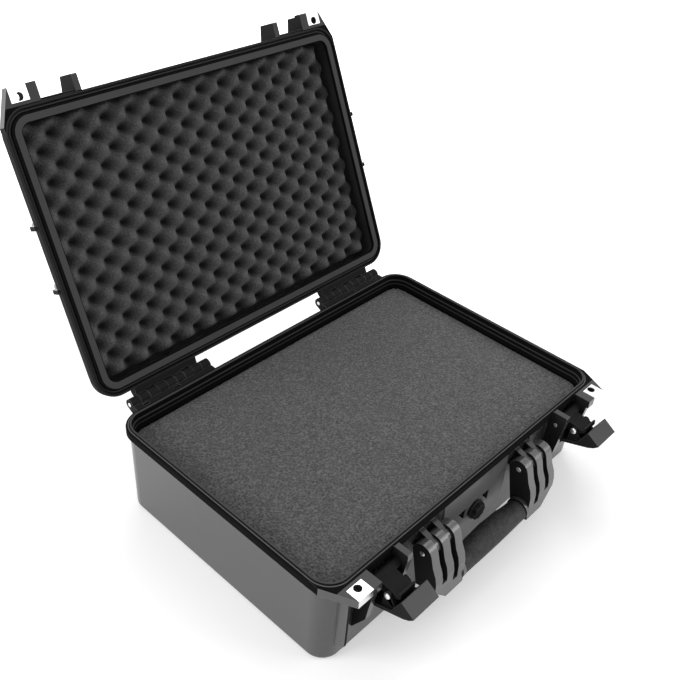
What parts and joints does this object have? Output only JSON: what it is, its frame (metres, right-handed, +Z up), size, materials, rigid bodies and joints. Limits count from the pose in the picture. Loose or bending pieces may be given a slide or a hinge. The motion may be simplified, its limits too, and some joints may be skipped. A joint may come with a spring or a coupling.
{
  "type": "laptop hard case",
  "caption": "Hard carrying case with a hinged lid, foam inside, hook-and-lever latches, a swinging handle, padlock eyes and a pressure valve.",
  "frame": {"origin": "centre of the tub's underside", "axes": "+X to the right seen from the front, +Y from the front with the latches to the back with the hinges, +Z up"},
  "size_m": [0.478, 0.5602, 0.4371],
  "materials": {
    "shell_plastic": "black moulded plastic with a fine grain",
    "latch_plastic": "black moulded plastic, smoother than the shells",
    "handle_plastic": "black moulded plastic with a fine grain",
    "grip_rubber": "soft matt rubber",
    "valve_plastic": "black moulded plastic",
    "tub_foam": "open-cell foam, dark grey with fine speckles",
    "lid_foam": "open-cell foam, charcoal",
    "seal_rubber": "soft black rubber",
    "plate": "satin, blank",
    "steel_pin": "drawn steel",
    "sleeve_steel": "bright stainless steel"
  },
  "bodies": {
    "base": {"base_shell": "shell_plastic", "base_foam_pad": "tub_foam", "base_foam_block": "tub_foam", "valve_body": "valve_plastic", "valve_seal": "seal_rubber", "hinge_pin_left": "steel_pin", "handle_pin_left": "steel_pin", "latch_pivot_pin_left": "steel_pin", "base_lock_sleeve_left": "sleeve_steel", "hinge_pin_right": "steel_pin", "handle_pin_right": "steel_pin", "latch_pivot_pin_right": "steel_pin", "base_lock_sleeve_right": "sleeve_steel"},
    "lid": {"lid_shell": "shell_plastic", "lid_seal": "seal_rubber", "lid_foam": "lid_foam", "name_plate": "plate", "lid_lock_sleeve_left": "sleeve_steel", "lid_lock_sleeve_right": "sleeve_steel"},
    "handle": {"handle_frame": "handle_plastic", "handle_grip": "grip_rubber"},
    "valve_knob": {"valve_knob": "valve_plastic"},
    "hook_left": {"latch_hook_left": "latch_plastic", "latch_link_pin_left": "steel_pin"},
    "lever_left": {"latch_lever_left": "latch_plastic"},
    "hook_right": {"latch_hook_right": "latch_plastic", "latch_link_pin_right": "steel_pin"},
    "lever_right": {"latch_lever_right": "latch_plastic"}
  },
  "joints": [
    {"name": "lid_hinge", "type": "hinge", "parent": "base", "child": "lid", "pos_m": [0, 0.1735, 0.1156], "axis": [1, 0, 0], "range_deg": [0, 114.3]},
    {"name": "handle_swing", "type": "hinge", "parent": "base", "child": "handle", "pos_m": [0, -0.1706, 0.085], "axis": [-1, 0, 0], "range_deg": [0, 95]},
    {"name": "valve_turn", "type": "hinge", "parent": "base", "child": "valve_knob", "pos_m": [0, -0.162, 0.06], "axis": [0, -1, 0], "range_deg": [0, 180]},
    {"name": "latch_swing_left", "type": "hinge", "parent": "base", "child": "hook_left", "pos_m": [-0.166, -0.166, 0.1005], "axis": [-1, 0, 0], "range_deg": [0, 98.6]},
    {"name": "lever_turn_left", "type": "hinge", "parent": "hook_left", "child": "lever_left", "pos_m": [-0.166, -0.18399, 0.09576], "axis": [1, 0, 0], "range_deg": [0, 28.6]},
    {"name": "latch_swing_right", "type": "hinge", "parent": "base", "child": "hook_right", "pos_m": [0.166, -0.166, 0.1005], "axis": [-1, 0, 0], "range_deg": [0, 98.6]},
    {"name": "lever_turn_right", "type": "hinge", "parent": "hook_right", "child": "lever_right", "pos_m": [0.166, -0.18399, 0.09576], "axis": [1, 0, 0], "range_deg": [0, 28.6]}
  ],
  "couplings": [
    {"joint": "lever_turn_left", "follows": "latch_swing_left", "ratio": 0.29006},
    {"joint": "lever_turn_right", "follows": "latch_swing_right", "ratio": 0.29006}
  ]
}
